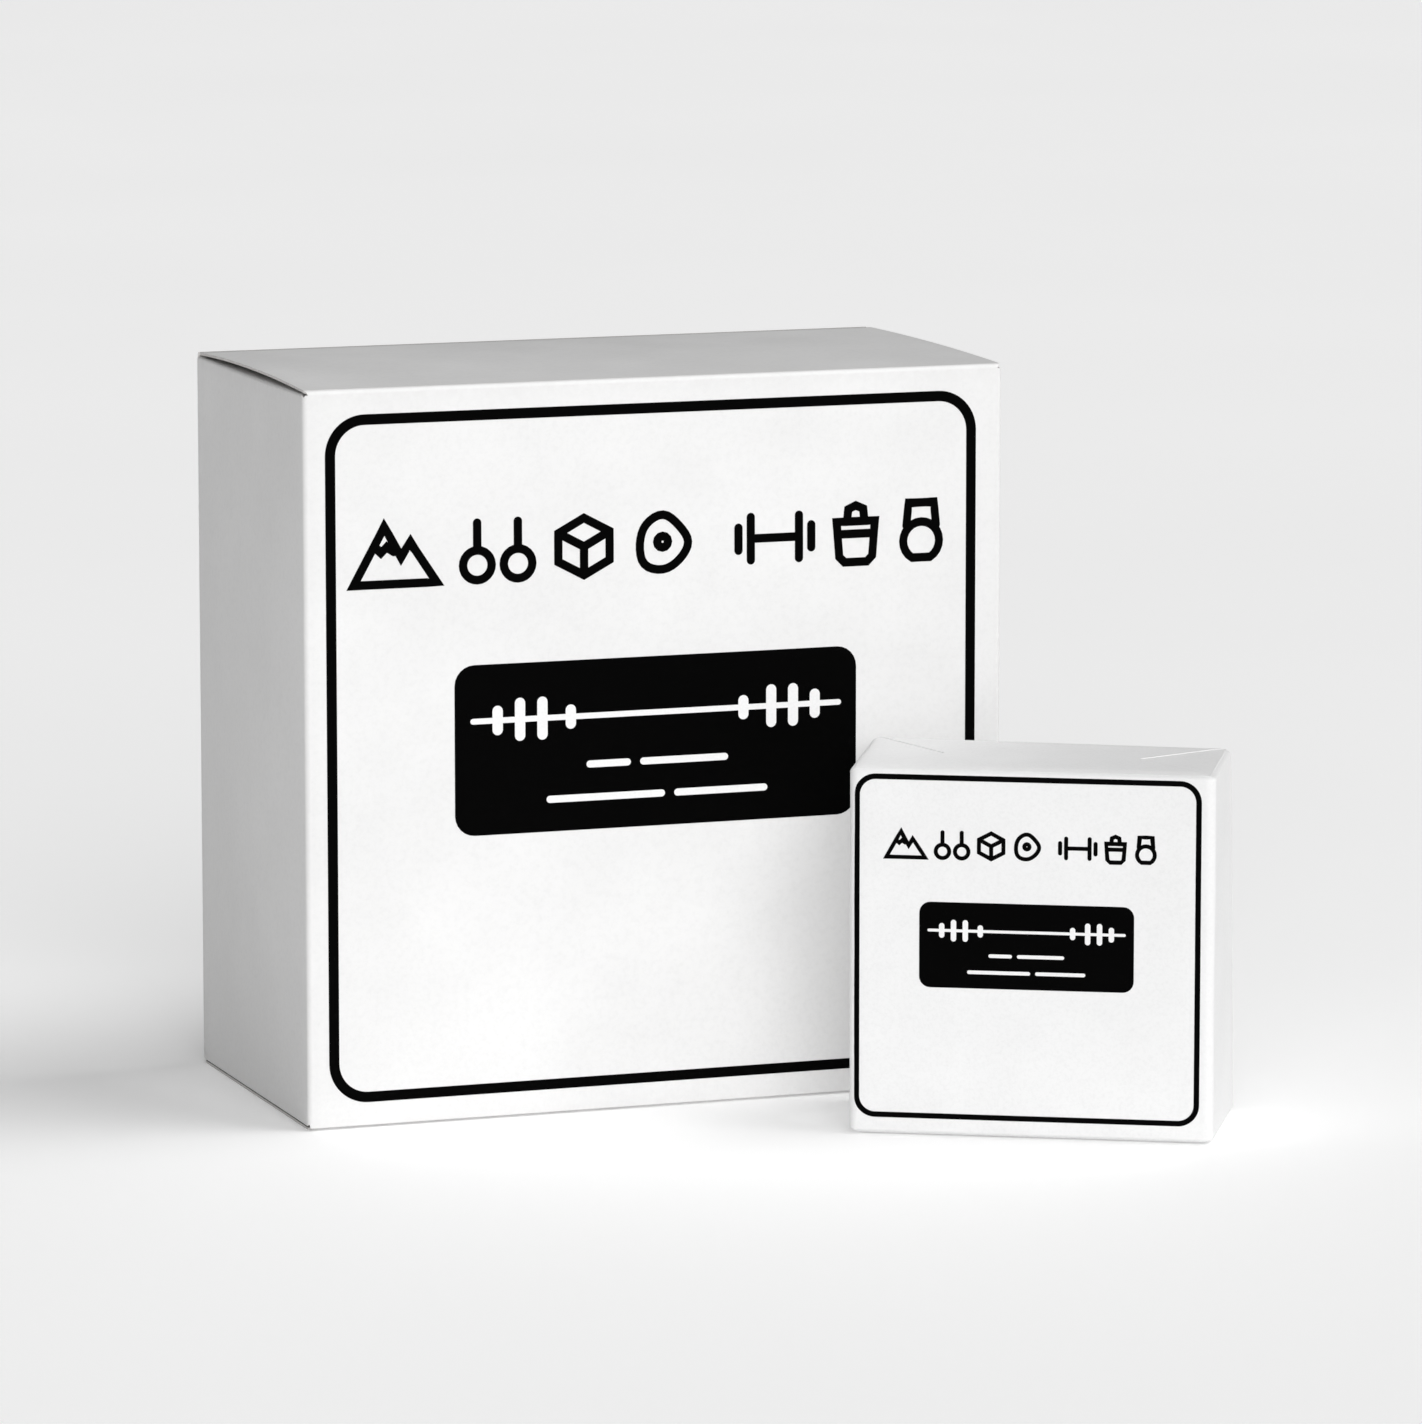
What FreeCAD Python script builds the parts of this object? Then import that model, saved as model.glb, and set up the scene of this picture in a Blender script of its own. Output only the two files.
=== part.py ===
"""Boxed set of wrapped gymnastics chalk blocks.

One closed paperboard carton with a tuck lid and a tuck base, eight blocks of pressed
chalk in paper wrappers: seven packed in the carton, and one standing in front of it.
Frame: millimetres, origin at the centre of the carton's base, +Z up, front towards -Y.
Every panel of the carton is one flat piece of board, and they meet at the creases.
"""
import FreeCAD, Part
import os

import PartDesign
import Sketcher

DIMENSIONS = [
    ("carton_width", 114.0),
    ("carton_depth", 58.2),
    ("carton_height", 114.4),
    ("board", 0.4),
    ("crease_gap", 0.05),
    ("layer_gap", 0.15),
    ("tuck_gap", 0.2),
    ("lid_inset", 0.3),
    ("tuck_length", 9.5),
    ("tuck_lean", 6.3),
    ("tuck_inset", 1.4),
    ("tuck_corner", 5.0),
    ("dust_length", 28.0),
    ("dust_hinge_gap", 1.5),
    ("dust_slope", 0.55),
    ("dust_tuck_gap", 2.6),
    ("dust_corner", 3.0),
    ("glue_width", 12.0),
    ("glue_taper", 5.0),
    ("block_width", 56.0),
    ("block_depth", 27.7),
    ("block_height", 56.0),
    ("block_edge", 1.5),
    ("core_edge", 1.7),
    ("paper", 0.15),
    ("column_gap", 0.2),
    ("row_gap", 0.1),
    ("wall_gap", 0.05),
    ("loose_puff", 1.3),
    ("loose_x", 20.3),
    ("loose_y", -58.9),
    ("loose_turn", 28.7),
]

# Lengths that several pieces share, as expressions on the sheet's cells.
HALF_WIDTH = "size.carton_width / 2"
HALF_DEPTH = "size.carton_depth / 2"
LID_WIDTH = "(size.carton_width - 2 * size.lid_inset)"
LID_REACH = "(size.carton_depth - size.board - size.tuck_gap)"
TUCK_WIDTH = "(size.carton_width - 2 * size.board - 2 * size.tuck_inset)"
TUCK_START = "(size.board + size.layer_gap)"
TWO_LAYERS = "(2 * size.board + size.layer_gap)"
WALL_HEIGHT = "(size.carton_height - size.board - size.crease_gap)"
SIDE_BOTTOM = f"({TWO_LAYERS} + size.crease_gap)"
SIDE_HEIGHT = f"(size.carton_height - 2 * {SIDE_BOTTOM})"
SIDE_DEPTH = "(size.carton_depth - 2 * size.board)"
DUST_REAR = "(size.carton_depth - size.dust_tuck_gap)"

# Turns of a flat outline, or of a block: each is an axis and an angle.
FLAT = None
UPRIGHT_ACROSS = ((1, 0, 0), "90")
UPRIGHT_ALONG = ((1, 1, 1), "120")
FLIP_OVER_Y = ((0, 1, 0), "180")
FLIP_OVER_X = ((1, 0, 0), "180")
HALF_TURN = ((0, 0, 1), "180")

doc = FreeCAD.newDocument("chalk_block_set")
sub_parts = []


def make_sheet():
    """Put the driving dimensions in a sheet, one named cell each."""
    sheet = doc.addObject("Spreadsheet::Sheet", "size")
    for row, (alias, value) in enumerate(DIMENSIONS, start=1):
        sheet.set(f"A{row}", alias)
        sheet.set(f"B{row}", str(value))
        sheet.setAlias(f"B{row}", alias)
    doc.recompute()
    return sheet


def place(body, position, turn):
    """Bind a body's position, and its turn about one axis, to the sheet."""
    if turn is not FLAT:
        axis, angle = turn
        # A first turn of one degree gives the rotation its axis.
        start = FreeCAD.Rotation(FreeCAD.Vector(*axis), 1)
        body.Placement = FreeCAD.Placement(FreeCAD.Vector(0, 0, 0), start)
        body.setExpression("Placement.Rotation.Angle", f"({angle}) * 1 deg")
    for letter, expression in zip("xyz", position):
        body.setExpression(f"Placement.Base.{letter}", expression)


def new_body(label):
    """Start one named sub-part."""
    body = doc.addObject("PartDesign::Body", label)
    body.Label = label
    sub_parts.append(body)
    return body


def outline_sketch(body, corners):
    """Draw a closed outline on the body's XY plane, each corner tied to the sheet."""
    sketch = body.newObject("Sketcher::SketchObject", f"{body.Label}_outline")
    plane = next(f for f in body.Origin.OriginFeatures if f.Role == "XY_Plane")
    sketch.AttachmentSupport = [(plane, "")]
    sketch.MapMode = "FlatFace"
    guesses = [FreeCAD.Vector(*doc_value(corner), 0) for corner in corners]
    count = len(corners)
    for index in range(count):
        line = Part.LineSegment(guesses[index], guesses[(index + 1) % count])
        sketch.addGeometry(line, False)
    for index in range(count):
        following = (index + 1) % count
        sketch.addConstraint(Sketcher.Constraint("Coincident", index, 2, following, 1))
    for index, corner in enumerate(corners):
        for kind, expression in zip(("DistanceX", "DistanceY"), corner):
            value = getattr(guesses[index], kind[-1].lower())
            tie = Sketcher.Constraint(kind, -1, 1, index, 1, value)
            number = sketch.addConstraint(tie)
            sketch.setExpression(f"Constraints[{number}]", f"({expression}) * 1 mm")
    return sketch


def doc_value(expressions):
    """Work out expressions on the sheet as plain numbers."""
    return [float(sheet.evalExpression(text.replace("size.", ""))) for text in expressions]


def board_piece(label, corners, position, turn, rounded=(), radius=None):
    """Cut one flat piece of board: an outline, its thickness, and rounded corners."""
    body = new_body(label)
    sketch = outline_sketch(body, corners)
    pad = body.newObject("PartDesign::Pad", f"{label}_board")
    pad.Profile = sketch
    pad.setExpression("Length", "size.board * 1 mm")
    sketch.Visibility = False
    doc.recompute()
    if rounded:
        spots = [doc_value(corners[index]) for index in rounded]
        fillet = body.newObject("PartDesign::Fillet", f"{label}_corners")
        fillet.Base = (pad, [name for spot in spots for name in edges_at(pad.Shape, spot)])
        fillet.setExpression("Radius", f"{radius} * 1 mm")
    place(body, position, turn)
    return body


def edges_at(shape, spot):
    """Name the edges that run through the board's thickness at one corner."""
    names = []
    for number, edge in enumerate(shape.Edges, start=1):
        ends = [vertex.Point for vertex in edge.Vertexes]
        if all(abs(p.x - spot[0]) < 1e-4 and abs(p.y - spot[1]) < 1e-4 for p in ends):
            names.append(f"Edge{number}")
    return names


def rectangle(across, along):
    """Corners of a rectangle with one corner on the origin."""
    return [("0", "0"), (across, "0"), (across, along), ("0", along)]


def make_walls():
    """The four walls of the carton's sleeve, and the flap that glues it shut."""
    across = rectangle("size.carton_width", WALL_HEIGHT)
    along = rectangle(SIDE_DEPTH, SIDE_HEIGHT)
    left_edge = f"-{HALF_WIDTH}"
    side_front = f"-{HALF_DEPTH} + size.board"
    board_piece("front_panel", across, (left_edge, side_front, "0"), UPRIGHT_ACROSS)
    back_bottom = "size.board + size.crease_gap"
    board_piece("back_panel", across, (left_edge, HALF_DEPTH, back_bottom), UPRIGHT_ACROSS)
    board_piece("left_panel", along, (left_edge, side_front, SIDE_BOTTOM), UPRIGHT_ALONG)
    right_inside = f"{HALF_WIDTH} - size.board"
    board_piece("right_panel", along, (right_inside, side_front, SIDE_BOTTOM), UPRIGHT_ALONG)
    glue_corners = [
        ("0", "size.glue_taper"),
        ("size.glue_width", "0"),
        ("size.glue_width", SIDE_HEIGHT),
        ("0", f"{SIDE_HEIGHT} - size.glue_taper"),
    ]
    glue_x = f"{HALF_WIDTH} - 2 * size.board"
    glue_y = f"{HALF_DEPTH} - size.board - size.glue_width"
    board_piece("glue_flap", glue_corners, (glue_x, glue_y, SIDE_BOTTOM), UPRIGHT_ALONG)


def tuck_corners():
    """Outline of a tuck flap: it starts clear of its panel and ends rounded."""
    return [
        ("0", TUCK_START),
        (TUCK_WIDTH, TUCK_START),
        (TUCK_WIDTH, "size.tuck_length"),
        ("0", "size.tuck_length"),
    ]


def dust_corners():
    """Outline of a dust flap: x from its own crease, y from the lid's or base's crease."""
    slanted = "size.dust_hinge_gap + size.dust_slope * size.dust_length"
    return [
        ("0", "size.dust_hinge_gap"),
        ("size.dust_length", slanted),
        ("size.dust_length", DUST_REAR),
        ("0", DUST_REAR),
    ]


def make_closure(name, panel_spot, tuck_spot, tuck_turn, left, right):
    """One end of the carton: its panel, its tuck flap and its two dust flaps."""
    board_piece(f"{name}_panel", rectangle(LID_WIDTH, LID_REACH), panel_spot, FLAT)
    board_piece(
        f"{name}_tuck_flap", tuck_corners(), tuck_spot, tuck_turn, (2, 3), "size.tuck_corner"
    )
    for side, (spot, turn) in (("left", left), ("right", right)):
        label = f"{name}_dust_flap_{side}"
        board_piece(label, dust_corners(), spot, turn, (1, 2), "size.dust_corner")


def make_lid():
    """The top closure, hinged on the front wall and tucked in behind the back wall."""
    tuck_x = f"-{TUCK_WIDTH} / 2"
    tuck_y = f"-{HALF_DEPTH} + {LID_REACH} - size.board * cos(size.tuck_lean)"
    tuck_z = "size.carton_height + size.board * sin(size.tuck_lean)"
    dust_top = f"size.carton_height - {TUCK_START}"
    make_closure(
        "lid",
        (f"-{LID_WIDTH} / 2", f"-{HALF_DEPTH}", "size.carton_height - size.board"),
        (tuck_x, tuck_y, tuck_z),
        ((-1, 0, 0), "90 + size.tuck_lean"),
        ((f"-{HALF_WIDTH}", f"-{HALF_DEPTH}", f"{dust_top} - size.board"), FLAT),
        ((HALF_WIDTH, f"-{HALF_DEPTH}", dust_top), FLIP_OVER_Y),
    )


def make_base():
    """The bottom closure, hinged on the back wall and tucked in behind the front wall."""
    tuck_x = f"-{TUCK_WIDTH} / 2"
    tuck_y = f"{HALF_DEPTH} - {LID_REACH} + size.board * cos(size.tuck_lean)"
    tuck_z = "-size.board * sin(size.tuck_lean)"
    make_closure(
        "base",
        (f"-{LID_WIDTH} / 2", f"{HALF_DEPTH} - {LID_REACH}", "0"),
        (tuck_x, tuck_y, tuck_z),
        ((1, 0, 0), "90 - size.tuck_lean"),
        ((f"-{HALF_WIDTH}", HALF_DEPTH, TWO_LAYERS), FLIP_OVER_X),
        ((HALF_WIDTH, HALF_DEPTH, TUCK_START), HALF_TURN),
    )


def add_box(body, name, kind, inset, puff="0"):
    """Add a block-sized box to a body, or take one out of it, set in on every side."""
    box = body.newObject(kind, f"{body.Label}_{name}")
    box.setExpression("Length", f"(size.block_width - 2 * ({inset})) * 1 mm")
    box.setExpression("Width", f"(size.block_depth - 2 * ({inset})) * 1 mm")
    box.setExpression("Height", f"(size.block_height + {puff} - 2 * ({inset})) * 1 mm")
    for letter in "xyz":
        box.setExpression(f"Placement.Base.{letter}", inset)
    doc.recompute()
    return box


def round_edges(body, name, base, edges, radius):
    """Round the named edges of a body's last feature."""
    fillet = body.newObject("PartDesign::Fillet", f"{body.Label}_{name}")
    fillet.Base = (base, edges)
    fillet.setExpression("Radius", f"({radius}) * 1 mm")
    doc.recompute()
    return fillet


def cavity_edges(shape):
    """Name the edges of the hollow inside a wrapper: those off its outer box."""
    box = shape.BoundBox
    names = []
    for number, edge in enumerate(shape.Edges, start=1):
        around = edge.BoundBox
        at_x = around.XMin < box.XMin + 1e-6 or around.XMax > box.XMax - 1e-6
        at_y = around.YMin < box.YMin + 1e-6 or around.YMax > box.YMax - 1e-6
        at_z = around.ZMin < box.ZMin + 1e-6 or around.ZMax > box.ZMax - 1e-6
        if not (at_x or at_y or at_z):
            names.append(f"Edge{number}")
    return names


def straight_outer_edges(shape):
    """Name the twelve straight edges of a wrapper's outer box."""
    inner = set(cavity_edges(shape))
    return [f"Edge{n}" for n in range(1, len(shape.Edges) + 1) if f"Edge{n}" not in inner]


def wrapped_block(place_name, position, turn, puff="0"):
    """One pressed chalk block and the paper glued round it, which may stand up at its top."""
    wrapper = new_body(f"wrapper_{place_name}")
    add_box(wrapper, "outside", "PartDesign::AdditiveBox", "0", puff)
    hollow = add_box(wrapper, "inside", "PartDesign::SubtractiveBox", "size.paper", puff)
    hollow_edges = cavity_edges(hollow.Shape)
    inner_radius = "size.block_edge - size.paper"
    rounded = round_edges(wrapper, "inner_edges", hollow, hollow_edges, inner_radius)
    outer_edges = straight_outer_edges(rounded.Shape)
    round_edges(wrapper, "outer_edges", rounded, outer_edges, "size.block_edge")
    place(wrapper, position, turn)

    chalk = new_body(f"chalk_{place_name}")
    core = add_box(chalk, "core", "PartDesign::AdditiveBox", "size.paper")
    core_edges = [f"Edge{number}" for number in range(1, len(core.Shape.Edges) + 1)]
    round_edges(chalk, "edges", core, core_edges, "size.core_edge")
    place(chalk, position, turn)


def make_blocks():
    """Two layers of four blocks. The one from the top front right stands outside."""
    left_x = "-size.block_width - size.column_gap / 2 - size.board / 2"
    right_x = "size.column_gap / 2 - size.board / 2"
    near_wall = "size.board + size.wall_gap"
    pair_depth = "2 * size.block_depth + size.row_gap"
    bottom_z = f"{SIDE_BOTTOM} + size.row_gap"
    top_z = f"{bottom_z} + size.block_height + size.row_gap"
    # The top layer stands against the front wall and the bottom layer against the back
    # one, away from the tuck flaps.
    front_y = {
        "top": f"-{HALF_DEPTH} + {near_wall}",
        "bottom": f"{HALF_DEPTH} - ({near_wall}) - ({pair_depth})",
    }
    for layer, layer_z in (("bottom", bottom_z), ("top", top_z)):
        for row, steps in (("front", 0), ("back", 1)):
            row_y = f"{front_y[layer]} + {steps} * (size.block_depth + size.row_gap)"
            for side, side_x in (("left", left_x), ("right", right_x)):
                if (layer, row, side) != ("top", "front", "right"):
                    wrapped_block(f"{layer}_{row}_{side}", (side_x, row_y, layer_z), FLAT)
    loose_spot = ("size.loose_x", "size.loose_y", "0")
    loose_turn = ((0, 0, -1), "size.loose_turn")
    wrapped_block("loose", loose_spot, loose_turn, "size.loose_puff")


def check_and_write():
    """Stop on any failed object, then write each sub-part to its own file."""
    doc.recompute()
    for item in doc.Objects:
        if "Invalid" in item.State or "Error" in item.State:
            raise RuntimeError(f"{item.Name} failed: {item.State}")
    for body in sub_parts:
        if body.Shape.isNull() or not body.Shape.isValid():
            raise RuntimeError(f"{body.Label} has no valid shape")
        if len(body.Shape.Solids) != 1:
            raise RuntimeError(f"{body.Label} is not one solid")
    os.makedirs("parts", exist_ok=True)
    for body in sub_parts:
        body.Shape.exportStep(f"parts/{body.Label}.step")
        box = body.Shape.BoundBox
        low = f"({box.XMin:.2f}, {box.YMin:.2f}, {box.ZMin:.2f})"
        high = f"({box.XMax:.2f}, {box.YMax:.2f}, {box.ZMax:.2f})"
        print(f"{body.Label}: {body.Shape.Volume:.1f} mm3, {low} to {high}")


sheet = make_sheet()
make_walls()
make_lid()
make_base()
make_blocks()
check_and_write()
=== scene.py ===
"""The looks of a boxed set of wrapped gymnastics chalk blocks, built round its CAD frame.

Lengths are metres, written as millimetres times MM. The carton is one sheet of coated
board: a folded sleeve, a lid and a base that each carry a tuck flap, and dust flaps.
Each block is wrapped in paper, with folded ends and a seam down its back.
"""
import math

import bmesh
import bpy
from mathutils import Matrix, Vector, noise


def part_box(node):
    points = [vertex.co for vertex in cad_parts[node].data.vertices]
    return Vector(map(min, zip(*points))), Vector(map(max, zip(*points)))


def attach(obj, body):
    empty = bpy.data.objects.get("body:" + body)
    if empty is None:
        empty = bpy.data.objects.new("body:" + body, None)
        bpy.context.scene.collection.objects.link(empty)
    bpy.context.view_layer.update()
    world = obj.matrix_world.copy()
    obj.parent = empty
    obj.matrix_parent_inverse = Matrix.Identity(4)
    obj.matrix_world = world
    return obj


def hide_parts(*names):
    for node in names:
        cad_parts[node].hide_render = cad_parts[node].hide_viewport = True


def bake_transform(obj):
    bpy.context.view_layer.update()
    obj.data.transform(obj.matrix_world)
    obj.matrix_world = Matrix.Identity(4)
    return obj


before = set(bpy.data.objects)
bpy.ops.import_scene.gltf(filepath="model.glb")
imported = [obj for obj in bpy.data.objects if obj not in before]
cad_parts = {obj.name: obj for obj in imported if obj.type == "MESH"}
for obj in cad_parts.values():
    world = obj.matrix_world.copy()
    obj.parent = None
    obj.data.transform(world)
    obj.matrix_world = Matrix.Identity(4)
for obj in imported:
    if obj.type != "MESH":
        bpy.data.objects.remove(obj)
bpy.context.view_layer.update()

MM = 0.001

# Sizes read from the frame.
FRONT_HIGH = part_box("front_panel")[1]
BACK_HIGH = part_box("back_panel")[1]
LID_LOW, LID_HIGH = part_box("lid_panel")
TUCK_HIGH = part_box("lid_tuck_flap")[1]
DUST_LOW, DUST_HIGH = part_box("lid_dust_flap_left")
GLUE_LOW, GLUE_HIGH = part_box("glue_flap")
PACKED_LOW, PACKED_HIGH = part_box("wrapper_bottom_front_left")
HALF_WIDTH = FRONT_HIGH.x
HALF_DEPTH = BACK_HIGH.y
TOP = BACK_HIGH.z
BOARD = LID_HIGH.z - LID_LOW.z
BLOCK_WIDTH = PACKED_HIGH.x - PACKED_LOW.x
BLOCK_DEPTH = PACKED_HIGH.y - PACKED_LOW.y

# The radii of the board's folds, and how many steps go round a fold.
CORNER_FOLD = 0.8 * MM
LID_FOLD = 0.7 * MM
TUCK_FOLD = 0.6 * MM
DUST_FOLD = 0.35 * MM
GLUE_FOLD = 0.5 * MM
CORNER_STEPS = 6
CREASE_STEPS = 8

# How far the panels bow, and the share of the lid's bow that is lost by its right edge.
WALL_BOW = 0.45 * MM
SIDE_BOW = 1.2 * MM
LID_BOW = 0.7 * MM
BOW_FADE = 0.5

# Points on the board are about this far apart.
BOARD_STEP = 2.6 * MM

# Raw edges: the right wall's stops short of the back, the front's lower one stands off the
# floor, and the glue flap gets this much narrower at each end.
RIGHT_EDGE_GAP = 0.1 * MM
FRONT_RISE = 0.45 * MM
GLUE_TAPER = 5 * MM

# The tuck and dust flaps.
TUCK_LENGTH = 9.5 * MM
TUCK_LEAN = math.radians(6.3)
TUCK_CORNER = 5 * MM
DUST_CORNER = 3 * MM
DUST_HINGE_GAP = 1.5 * MM
DUST_SLOPE = 0.55
DUST_CLEARANCE = 0.1 * MM
DUST_TOP = DUST_HIGH.z - DUST_CLEARANCE

# Faces that turn this far across a point make it a full edge, which scuffs.
FULL_EDGE = math.radians(28)

# Points nearer than this are one point.
SAME_POINT = 0.001 * MM

# The wrapper's paper: its thickness, the radii of its edges, and how far apart its points are.
PAPER = 0.12 * MM
PAPER_EDGE = 1.5 * MM
PAPER_RIM = 0.65 * MM
PAPER_STEP = 1.3 * MM

# The paper's waves, ripples and creases: how fine, in cycles per metre, and how high.
WAVES = (70, 0.07 * MM)
RIPPLES = (260, 0.02 * MM)
CREASES = (120, 0.03 * MM)
CREASE_START = 0.93
FLAP_WAVES = (110, 0.05 * MM)

# The folded ends: how deep the paper stacks, and how each flap starts, tapers and springs.
END_STACK = 0.42 * MM
FLAP_INSET = 0.9 * MM
FLAP_RAMP = 1.6 * MM
FLAP_CORNER = 0.8 * MM
FLAP_TAPER = 0.95
GUSSET_TIP_INSET = 3 * MM
FLAP_SPRING = 0.09 * MM
LOOSE_TOP_SPRING = 0.03 * MM

# Each flap's length and the height that it lies at: side gusset, under flap, over flap.
GUSSET = (12 * MM, 0.1 * MM)
UNDER_FLAP = (16 * MM, 0.2 * MM)
OVER_FLAP = (20 * MM, 0.31 * MM)

# The seam down a block's back: its margin at the side and at the ends, where its free edge
# is, and how far the paper stands up along it and at that edge.
SEAM_MARGIN = 3 * MM
SEAM_END = 2 * MM
SEAM_EDGE = 4 * MM
SEAM_RISE = 0.11 * MM
SEAM_SPRING = 0.05 * MM

# How the loose block is turned, and how far out of square its wrapper stands.
LOOSE_TURN = math.radians(-28.7)
LEAN = 1.0 * MM
LEAN_REACH = 5 * MM
LEAN_UPRIGHT = 0.85
TOP_RISE = 0.7 * MM

# Ink layers stand this far off the surface they are printed on.
INK = 0.03 * MM
INK_ON_INK = 0.05 * MM
OVERPRINT = 0.006 * MM

# Points on a printed label, and along a printed line, are about this far apart.
LABEL_STEP = 1.6 * MM
LINE_STEP = 1.4 * MM

# The extra space between the heading's two groups, as a share of the gap between pictures.
GROUP_GAP = 0.8

# The label's barbell: its height, half its length and its line, as shares of the label.
# Each plate is given by how far in from the bar's end it is, and half its height.
BAR_HEIGHT = 0.67
BAR_REACH = 0.455
LABEL_LINE = 0.042
PLATES = ((0.06, 0.055), (0.115, 0.095), (0.17, 0.095), (0.24, 0.04))

# The label's two rules: how high up each is, half its length, and how far from the middle it
# is broken, by twice the gap.
RULES = ((0.385, 0.168, -0.055), (0.19, 0.267, 0.03))
RULE_GAP = 0.02


# ---------------------------------------------------------------- materials

def new_material(name):
    """An empty node material and its parts."""
    material = bpy.data.materials.new(name)
    material.use_nodes = True
    tree = material.node_tree
    return material, tree.nodes, tree.links, tree.nodes["Principled BSDF"]


def noise_node(nodes, links, scale, detail, roughness=0.55):
    """Noise in the piece's own metres: scale is in cycles per metre."""
    place = nodes.new("ShaderNodeTexCoord")
    texture = nodes.new("ShaderNodeTexNoise")
    texture.inputs["Scale"].default_value = scale
    texture.inputs["Detail"].default_value = detail
    texture.inputs["Roughness"].default_value = roughness
    links.new(place.outputs["Object"], texture.inputs["Vector"])
    return texture


def ramp_node(nodes, links, source, stops):
    """A colour ramp over a noise value. Stops are (place, colour)."""
    ramp = nodes.new("ShaderNodeValToRGB")
    elements = ramp.color_ramp.elements
    for element, (place, colour) in zip(elements, (stops[0], stops[-1])):
        element.position = place
        element.color = (*colour, 1)
    for place, colour in stops[1:-1]:
        element = elements.new(place)
        element.color = (*colour, 1)
    links.new(source, ramp.inputs["Fac"])
    return ramp


def mix_colours(nodes, links, mode, factor, first, second):
    """Two colours mixed node to node."""
    mix = nodes.new("ShaderNodeMix")
    mix.data_type = "RGBA"
    mix.blend_type = mode
    mix.inputs["Factor"].default_value = factor
    links.new(first, mix.inputs["A"])
    links.new(second, mix.inputs["B"])
    return mix.outputs["Result"]


def grey(value, warmth=0.0):
    """A near-neutral colour, a little warmer or cooler."""
    return (value + warmth, value, value - warmth)


def worn_places(nodes, links, amount):
    """Where folds and cut edges are scuffed: the mesh's own edge value, broken up by noise."""
    edges = nodes.new("ShaderNodeAttribute")
    edges.attribute_name = "edge"
    patches = noise_node(nodes, links, 650, 4, 0.7)
    stops = [(0.38, grey(0.15)), (0.62, grey(1))]
    broken = ramp_node(nodes, links, patches.outputs["Fac"], stops)
    scuffs = nodes.new("ShaderNodeMath")
    scuffs.operation = "MULTIPLY"
    links.new(edges.outputs["Fac"], scuffs.inputs[0])
    links.new(broken.outputs["Color"], scuffs.inputs[1])
    share = nodes.new("ShaderNodeMath")
    share.operation = "MULTIPLY"
    share.inputs[1].default_value = amount
    links.new(scuffs.outputs["Value"], share.inputs[0])
    return share.outputs["Value"]


def fibrous(name, look):
    """Paper, board or chalk: soft blotches, a fine grain with its own bump, and scuffed edges."""
    material, nodes, links, shader = new_material(name)
    tone, spread, warmth = look["tone"], look["spread"], look["warmth"]
    blotches = noise_node(nodes, links, look["blotch"], 3)
    fine = noise_node(nodes, links, look["grain"], 5, 0.7)
    low = grey(tone - spread, warmth)
    high = grey(tone + spread, warmth)
    broad = ramp_node(nodes, links, blotches.outputs["Fac"], [(0.3, low), (0.7, high)])
    stops = [(0.28, grey(1 - look["speck"])), (0.55, grey(1))]
    specks = ramp_node(nodes, links, fine.outputs["Fac"], stops)
    sheet = mix_colours(
        nodes, links, "MULTIPLY", 1, broad.outputs["Color"], specks.outputs["Color"]
    )
    worn = worn_places(nodes, links, look["wear"])
    scuffed = ramp_node(nodes, links, fine.outputs["Fac"], [(0.3, low), (0.7, grey(0.62, 0.01))])
    colour = mix_colours(nodes, links, "MIX", 0, sheet, scuffed.outputs["Color"])
    links.new(worn, colour.node.inputs["Factor"])
    links.new(colour, shader.inputs["Base Color"])
    gloss = nodes.new("ShaderNodeMapRange")
    gloss.inputs["To Min"].default_value = look["rough"] - 0.06
    gloss.inputs["To Max"].default_value = look["rough"] + 0.06
    links.new(blotches.outputs["Fac"], gloss.inputs["Value"])
    links.new(gloss.outputs["Result"], shader.inputs["Roughness"])
    bump = nodes.new("ShaderNodeBump")
    bump.inputs["Strength"].default_value = 1
    bump.inputs["Distance"].default_value = look["bump"] * MM
    links.new(fine.outputs["Fac"], bump.inputs["Height"])
    links.new(bump.outputs["Normal"], shader.inputs["Normal"])
    shader.inputs["Specular IOR Level"].default_value = 0.35
    return material


def ink(name, tone, worn, rough, gloss):
    """Printing ink, which lets a few specks of the paper through."""
    material, nodes, links, shader = new_material(name)
    specks = noise_node(nodes, links, 2600, 4, 0.7)
    stops = [(0.2, grey(worn)), (0.33, grey(tone)), (1.0, grey(tone * 1.15))]
    colour = ramp_node(nodes, links, specks.outputs["Fac"], stops)
    links.new(colour.outputs["Color"], shader.inputs["Base Color"])
    bump = nodes.new("ShaderNodeBump")
    bump.inputs["Strength"].default_value = 0.6
    bump.inputs["Distance"].default_value = 0.02 * MM
    links.new(specks.outputs["Fac"], bump.inputs["Height"])
    links.new(bump.outputs["Normal"], shader.inputs["Normal"])
    shader.inputs["Roughness"].default_value = rough
    shader.inputs["Specular IOR Level"].default_value = gloss
    return material


COATED = {
    "tone": 0.825, "spread": 0.022, "warmth": 0.002, "blotch": 55, "grain": 1100,
    "speck": 0.045, "bump": 0.026, "rough": 0.48, "wear": 0.35,
}
GREY_BACK = {
    "tone": 0.4, "spread": 0.03, "warmth": 0.012, "blotch": 60, "grain": 1300,
    "speck": 0.16, "bump": 0.03, "rough": 0.85, "wear": 0.2,
}
CUT_EDGE = {
    "tone": 0.68, "spread": 0.04, "warmth": 0.015, "blotch": 400, "grain": 3800,
    "speck": 0.12, "bump": 0.03, "rough": 0.85, "wear": 0.3,
}
PAPER_LOOK = {
    "tone": 0.865, "spread": 0.015, "warmth": 0.0, "blotch": 70, "grain": 1900,
    "speck": 0.055, "bump": 0.02, "rough": 0.7, "wear": 0.22,
}
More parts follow.
